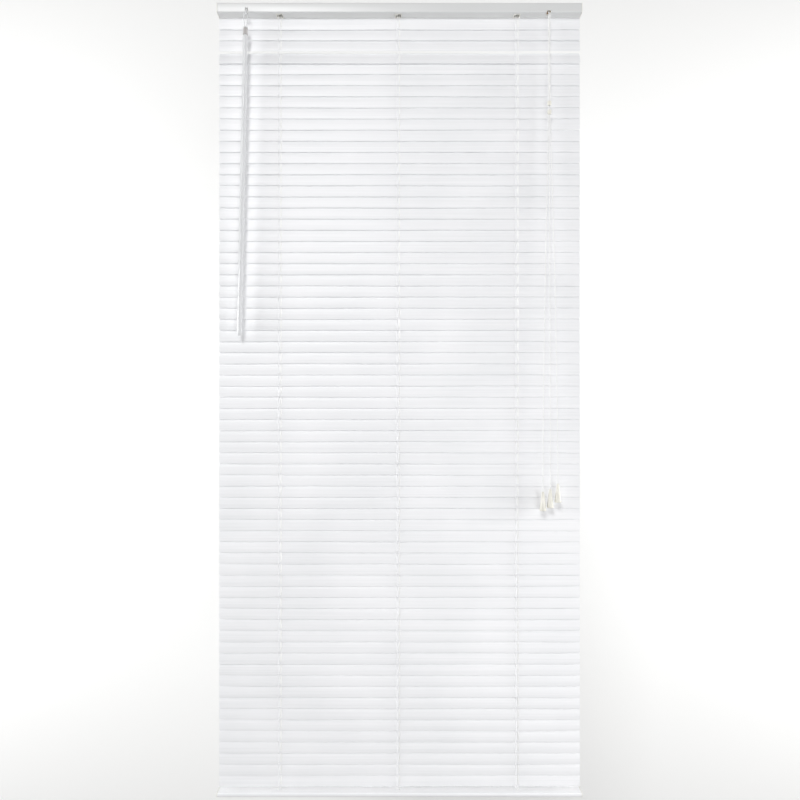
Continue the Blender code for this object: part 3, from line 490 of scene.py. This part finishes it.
def master_slat():
    """One flat slat along X, crowned across Y, with its slots punched and its corners rounded."""
    bpy.ops.mesh.primitive_grid_add(x_subdivisions=24, y_subdivisions=10, size=1)
    piece = bpy.context.object
    bpy.ops.object.mode_set(mode="EDIT")
    bpy.ops.mesh.select_all(action="SELECT")
    bpy.ops.transform.resize(value=(slat_length, slat_width, 1))
    for x in ladder_x:
        for edge in (x - slot_width / 2, x + slot_width / 2):
            bpy.ops.mesh.select_all(action="SELECT")
            bpy.ops.mesh.bisect(plane_co=(edge, 0, 0), plane_no=(1, 0, 0))
    for edge in (-slot_length / 2, slot_length / 2):
        bpy.ops.mesh.select_all(action="SELECT")
        bpy.ops.mesh.bisect(plane_co=(0, edge, 0), plane_no=(0, 1, 0))
    bpy.ops.mesh.select_mode(type="FACE")
    bpy.ops.mesh.select_all(action="DESELECT")
    bpy.ops.object.mode_set(mode="OBJECT")
    for face in piece.data.polygons:
        across = min(abs(face.center.x - x) for x in ladder_x) < slot_width / 2
        face.select = across and abs(face.center.y) < slot_length / 2
    bpy.ops.object.mode_set(mode="EDIT")
    bpy.ops.mesh.delete(type="FACE")
    bpy.ops.mesh.select_mode(type="VERT")
    bpy.ops.mesh.select_all(action="DESELECT")
    bpy.ops.object.mode_set(mode="OBJECT")
    for point in piece.data.vertices:
        at_end = abs(point.co.x) > slat_length / 2 - 0.0005
        point.select = at_end and abs(point.co.y) > slat_width / 2 - 0.0005
    bpy.ops.object.mode_set(mode="EDIT")
    bpy.ops.mesh.bevel(offset=0.0022, segments=3, affect="VERTICES")
    bpy.ops.object.mode_set(mode="OBJECT")
    radius = (slat_width**2 / 4 + slat_crown**2) / (2 * slat_crown)
    for point in piece.data.vertices:
        point.co.z = math.sqrt(radius**2 - point.co.y**2) - radius
    solid = piece.modifiers.new("Thickness", "SOLIDIFY")
    solid.thickness = slat_thickness
    solid.offset = 0
    bpy.ops.object.modifier_apply(modifier=solid.name)
    bpy.ops.object.shade_smooth_by_angle(angle=math.radians(40))
    piece.data.materials.append(white_vinyl)
    return piece


def lean_of(number, rng):
    """How much further a slat is closed than its ladders' tilt. The fourth has caught open, and the two
    above it are barely pulled. The other upper slats are pulled tighter than the lower ones."""
    weighted = 3.2 if number < 12 else 1.8
    return math.radians({2: 0.0, 3: 0.5, 4: -8.0}.get(number, weighted) + rng.uniform(-0.6, 0.6))


slat_master = master_slat()
rng = random.Random(17)
edge_z = slat_width / 2 * math.sin(closed_tilt)
slat_centres = []
caught_slat = 4
caught = {2: 0.0008, 3: 0.0014, caught_slat: -0.0020}  # metres above or below their own place
for number in range(1, slat_count + 1):
    lean = lean_of(number, rng)
    bow = rng.uniform(-0.0007, 0.0009)
    ripple, phase = rng.uniform(0.0, 0.00035), rng.uniform(0, 2 * math.pi)
    askew = rng.uniform(-0.0005, 0.0005)
    z = first_z + crown_rise - slat_pitch * (number - 1) + caught.get(number, 0)
    slat_centres.append(z)
    piece = bpy.data.objects.new("slat_strip_%02d" % number, slat_master.data.copy())
    bpy.context.scene.collection.objects.link(piece)
    turn = Matrix.Translation((0, slat_y, z)) @ Matrix.Rotation(closed_tilt + lean, 4, "X")
    for point in piece.data.vertices:
        share = 2 * point.co.x / slat_length
        beyond = max(0.0, abs(share) - 0.65) / 0.35
        droop = bow * beyond**2 + ripple * math.sin(7 * share + phase)
        point.co = turn @ point.co
        point.co.z += droop + askew * share
    if (number - 1) % between == 0:
        node = solid_slats[(number - 1) // between]
        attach(piece, body_of_node[node])
        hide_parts(node)
    else:
        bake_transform(piece)
bpy.data.objects.remove(slat_master)

# ---------------------------------------------------------------------------------------------
# Ladders. Each is knitted from white polyester thread: a front and a back string with a pair of
# thin rungs under every slat. The front string bends in and out over the slats' lower edges.


def thread(name, shade, light_shade, twist_mm):
    """Braided or knitted polyester: slanting strands, a little fuzz and no gloss."""
    made, tree, shader = new_material(name)
    place = add(tree, "ShaderNodeTexCoord")
    slant = {"Rotation": (0.0, 0.7, 0.3)}
    spread = add(tree, "ShaderNodeMapping", slant, {"Vector": place.outputs["Object"]})
    scale = 1000.0 / twist_mm / 6
    strands = add(
        tree,
        "ShaderNodeTexWave",
        {"Scale": scale, "Distortion": 1.5, "Detail": 2.0},
        {"Vector": spread.outputs["Vector"]},
        bands_direction="Z",
    )
    tinted(tree, shader, shade, light_shade, strands.outputs["Fac"])
    raised(tree, shader, 0.5, 0.0002, strands.outputs["Fac"])
    shader.inputs["Roughness"].default_value = 0.85
    return made


ladder_thread = thread("knitted_polyester_thread", "#E0E1E3", "#F6F6F6", 1.0)


def strand(name, route, thickness, finish, resolution=2):
    """A round thread along a route, as a mesh with closed ends."""
    curve = bpy.data.curves.new(name, "CURVE")
    curve.dimensions = "3D"
    curve.bevel_depth = thickness / 2
    curve.bevel_resolution = resolution
    curve.use_fill_caps = True
    for part in route:
        line = curve.splines.new("POLY")
        line.points.add(len(part) - 1)
        for point, spot in zip(line.points, part):
            point.co = (*spot, 1)
    made = bpy.data.objects.new(name, curve)
    bpy.context.scene.collection.objects.link(made)
    only(made)
    bpy.ops.object.convert(target="MESH")
    made = bpy.context.object
    bpy.ops.object.shade_smooth_by_angle(angle=math.radians(60))
    made.data.materials.append(finish)
    return made


string_diameter, rung_diameter = 0.001, 0.00045
caught_bulge = 0.0036
for side, cord_x in zip(sides, ladder_x):
    for face, into in (("front", 1), ("back", -1)):
        node = "ladder_%s_%s" % (face, side)
        start, end = (Vector(corner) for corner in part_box(node))
        x, y = (start.x + end.x) / 2, (start.y + end.y) / 2
        points = [(x, y, start.z)]
        for z in reversed(slat_centres):
            at_edge = z - into * edge_z
            bulge = caught_bulge if z == slat_centres[caught_slat - 1] else 0
            points.append((x - 0.0004, y - into * bulge, at_edge))
            points.append((x + 0.0005, y + into * 0.0005, at_edge + slat_pitch / 2))
        points = [p for p in points if start.z <= p[2] <= end.z] + [(x, y, end.z)]
        join = (x, y, middle_z)
        upper = [join] + [p for p in points if p[2] >= middle_z]
        lower = [p for p in points if p[2] <= middle_z] + [join]
        for half, part, fixed, inwards in (("upper", upper, end.z, -1), ("lower", lower, start.z, 1)):
            piece = strand("%s_%s" % (node, half), [part], string_diameter, ladder_thread)
            if face == "front":
                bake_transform(piece)
            else:
                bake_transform(piece)
            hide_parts(node)
    front = Vector(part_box("ladder_front_" + side)[0])
    back = Vector(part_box("ladder_back_" + side)[1])
    rungs = []
    for z in slat_centres:
        for shift in (-0.0009, 0.0009):
            x = front.x + 0.0005 + shift
            start = Vector((x, front.y + 0.0006, z - edge_z - 0.0004))
            end = Vector((x, back.y - 0.0006, z + edge_z - 0.0014))
            bend = (start + end) / 2 + Vector((0, 0.0012, -0.0006))
            rungs.append([start, bend, end])
    piece = strand("ladder_rungs_" + side, rungs, rung_diameter, ladder_thread, 0)
    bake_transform(piece)

# ---------------------------------------------------------------------------------------------
# Cords. White braided polyester. Three lift cords rise through the slats, turn over the cradles and
# run along the headrail to the lock, and below it they hang as the pull cords, through two moulded
# stops, down to a tassel on each.

braid = thread("white_braided_polyester", "#E4E4E3", "#F7F7F6", 1.2)
for side in sides:
    cord_object = nodes["lift_cord_" + side]
    cord_object.data.materials.clear()
    cord_object.data.materials.append(braid)


def smooth_route(points, count):
    """Points at even steps of a centripetal Catmull-Rom curve through the given ones."""
    places = [Vector(p) for p in points]
    places = [2 * places[0] - places[1]] + places + [2 * places[-1] - places[-2]]
    knots = [0.0]
    for a, b in zip(places, places[1:]):
        knots.append(knots[-1] + math.sqrt((b - a).length))

    def between(a, b, low, high, t):
        return a.lerp(b, (t - low) / (high - low))

    route = []
    spans = len(places) - 3
    for i in range(count):
        k = min(int(i / (count - 1) * spans), spans - 1)
        a, b, c, d = places[k : k + 4]
        ka, kb, kc, kd = knots[k : k + 4]
        t = kb + (i / (count - 1) * spans - k) * (kc - kb)
        ab, bc, cd = between(a, b, ka, kb, t), between(b, c, kb, kc, t), between(c, d, kc, kd, t)
        route.append(between(between(ab, bc, ka, kc, t), between(bc, cd, kb, kd, t), kb, kc, t))
    return route


cord_diameter, cord_pitch = 0.0012, 0.0016
nip_y = slat_y - 0.0069
exit_y = front_y - 0.0016
stop_y = exit_y - 0.0014
stop_boxes = [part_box("cord_stop_" + place) for place in ("upper", "lower")]
stop_height = 0.009
upper_top, lower_top = (box[1][2] for box in stop_boxes)
for index, side in enumerate(sides):
    tassel_low, tassel_high = (Vector(corner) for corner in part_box("tassel_" + side))
    end_x, tassel_y = (tassel_low.x + tassel_high.x) / 2, (tassel_low.y + tassel_high.y) / 2
    x, top, knot = lock_x + (index - 1) * cord_pitch, tassel_high.z, lower_top - stop_height
    route = [
        (x, nip_y - 0.0035, rail_floor + 0.0018),
        (x, exit_y + 0.0008, rail_floor - 0.0012),
        (x, exit_y, rail_floor - 0.0060),
        (x, exit_y - 0.0002, -0.050),
        (x, (exit_y + stop_y) / 2, -0.120),
        (x, stop_y, upper_top + 0.004),
        (x, stop_y, upper_top - stop_height / 2),
        (x, stop_y, lower_top),
        (x, stop_y, knot - 0.002),
        (x + (end_x - x) * 0.13, stop_y + (tassel_y - stop_y) * 0.1, knot + (top - knot) * 0.10),
        (x + (end_x - x) * 0.55, stop_y + (tassel_y - stop_y) * 0.5, knot + (top - knot) * 0.4),
        (x + (end_x - x) * 0.92, stop_y + (tassel_y - stop_y) * 0.9, knot + (top - knot) * 0.8),
        (end_x, tassel_y, top + 0.015),
        (end_x, tassel_y, top + 0.0003),
    ]
    line = smooth_route(route, 53)
    curve = bpy.data.curves.new("pull_cord", "CURVE")
    curve.dimensions = "3D"
    curve.bevel_depth = cord_diameter / 2
    curve.bevel_resolution = 3
    curve.use_fill_caps = True
    spline = curve.splines.new("POLY")
    spline.points.add(len(line) - 1)
    for point, spot in zip(spline.points, line):
        point.co = (*spot, 1)
    curve.materials.append(braid)
    piece = bpy.data.objects.new("pull_cord_%s_braid" % side, curve)
    bpy.context.scene.collection.objects.link(piece)
    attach(piece, "headrail")
    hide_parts("pull_cord_" + side)
    cream = softened("tassel_%s_bell" % side, "tassel_" + side, 0.0005, cream_plastic)
    if side == "centre":
        for place in ("upper", "lower"):
            stop = softened("cord_stop_%s_barrel" % place, "cord_stop_" + place, 0.0004, cream_plastic)

# ---------------------------------------------------------------------------------------------
# Bottom rail. A hollow white vinyl extrusion, heavier than a slat, with a moulded cap pushed into
# each end and a button under each ladder that holds the knotted cord and the ladder's ends.

softened("bottom_rail_extrusion", "bottom_rail", 0.0003, white_vinyl, 2, 60)
for side in ("left", "right"):
    softened("rail_cap_%s_moulding" % side, "rail_cap_" + side, 0.0004, white_nylon, 2, 50)
for side in sides:
    softened("rail_plug_%s_button" % side, "rail_plug_" + side, 0.0003, white_nylon)
